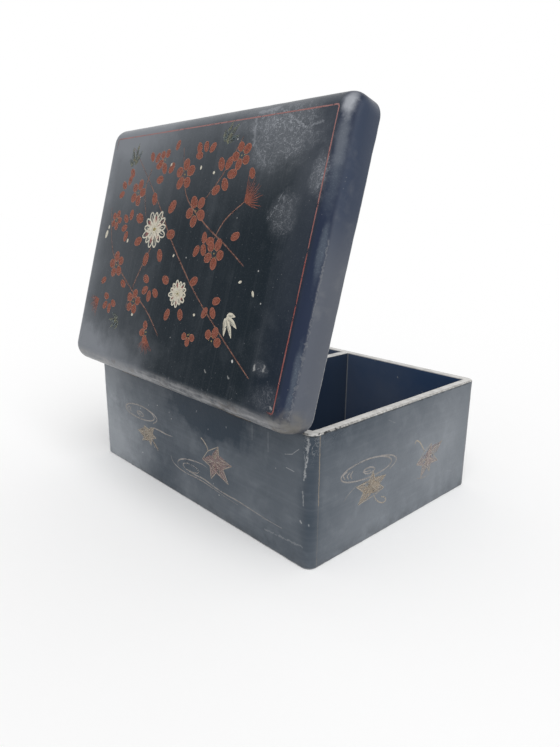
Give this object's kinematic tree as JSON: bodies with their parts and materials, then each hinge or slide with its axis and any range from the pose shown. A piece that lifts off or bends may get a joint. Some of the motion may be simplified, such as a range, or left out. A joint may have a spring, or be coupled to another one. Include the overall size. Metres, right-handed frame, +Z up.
{
  "type": "lacquer box",
  "caption": "Low rectangular box of lacquered wooden boards with a divider and a deep, round-edged lid on butt hinges, standing open.",
  "frame": {"origin": "centre of the underside of the box, on the flat face that it stands on", "axes": "+Z up; +X along the length of the box, towards the end wall at the right of the hinged side; -Y out of the hinged long side, which the picture shows at its left; stored with the lid open as pictured"},
  "size_m": [0.2704, 0.2132, 0.2836],
  "materials": {
    "outer_lacquer": "worn black lacquer on wood, soft gloss, blue-grey bloom, rubbed edges",
    "inner_lacquer": "near-black lacquer on wood, soft gloss",
    "lid_lacquer": "worn black lacquer on wood, soft gloss, scuffed, with a painted spray",
    "bamboo": "bare split bamboo",
    "brass": "aged brass, dull",
    "steel": "dull screw steel"
  },
  "bodies": {
    "box": {"hinge_side_wall": "outer_lacquer", "lift_side_wall": "outer_lacquer", "left_end_wall": "outer_lacquer", "right_end_wall": "outer_lacquer", "bottom_board": "inner_lacquer", "divider": "inner_lacquer", "left_hinge_corner_peg_1": "bamboo", "left_hinge_corner_peg_2": "bamboo", "left_hinge_corner_peg_3": "bamboo", "left_lift_corner_peg_1": "bamboo", "left_lift_corner_peg_2": "bamboo", "left_lift_corner_peg_3": "bamboo", "right_hinge_corner_peg_1": "bamboo", "right_hinge_corner_peg_2": "bamboo", "right_hinge_corner_peg_3": "bamboo", "right_lift_corner_peg_1": "bamboo", "right_lift_corner_peg_2": "bamboo", "right_lift_corner_peg_3": "bamboo", "left_hinge_box_leaf": "brass", "left_hinge_pin": "brass", "left_hinge_box_screw_1": "steel", "left_hinge_box_screw_2": "steel", "right_hinge_box_leaf": "brass", "right_hinge_pin": "brass", "right_hinge_box_screw_1": "steel", "right_hinge_box_screw_2": "steel"},
    "lid": {"lid_top_board": "lid_lacquer", "lid_hinge_side_rail": "lid_lacquer", "lid_lift_side_rail": "lid_lacquer", "lid_left_end_rail": "lid_lacquer", "lid_right_end_rail": "lid_lacquer", "lid_left_hinge_corner_peg_1": "bamboo", "lid_left_lift_corner_peg_1": "bamboo", "lid_right_hinge_corner_peg_1": "bamboo", "lid_right_lift_corner_peg_1": "bamboo", "left_hinge_lid_leaf": "brass", "left_hinge_lid_screw_1": "steel", "left_hinge_lid_screw_2": "steel", "right_hinge_lid_leaf": "brass", "right_hinge_lid_screw_1": "steel", "right_hinge_lid_screw_2": "steel"}
  },
  "joints": [
    {"name": "lid_hinge", "type": "hinge", "parent": "box", "child": "lid", "pos_m": [0, -0.0996, 0.0899], "axis": [1, 0, 0], "range_deg": [-74.1, 105.9]}
  ]
}
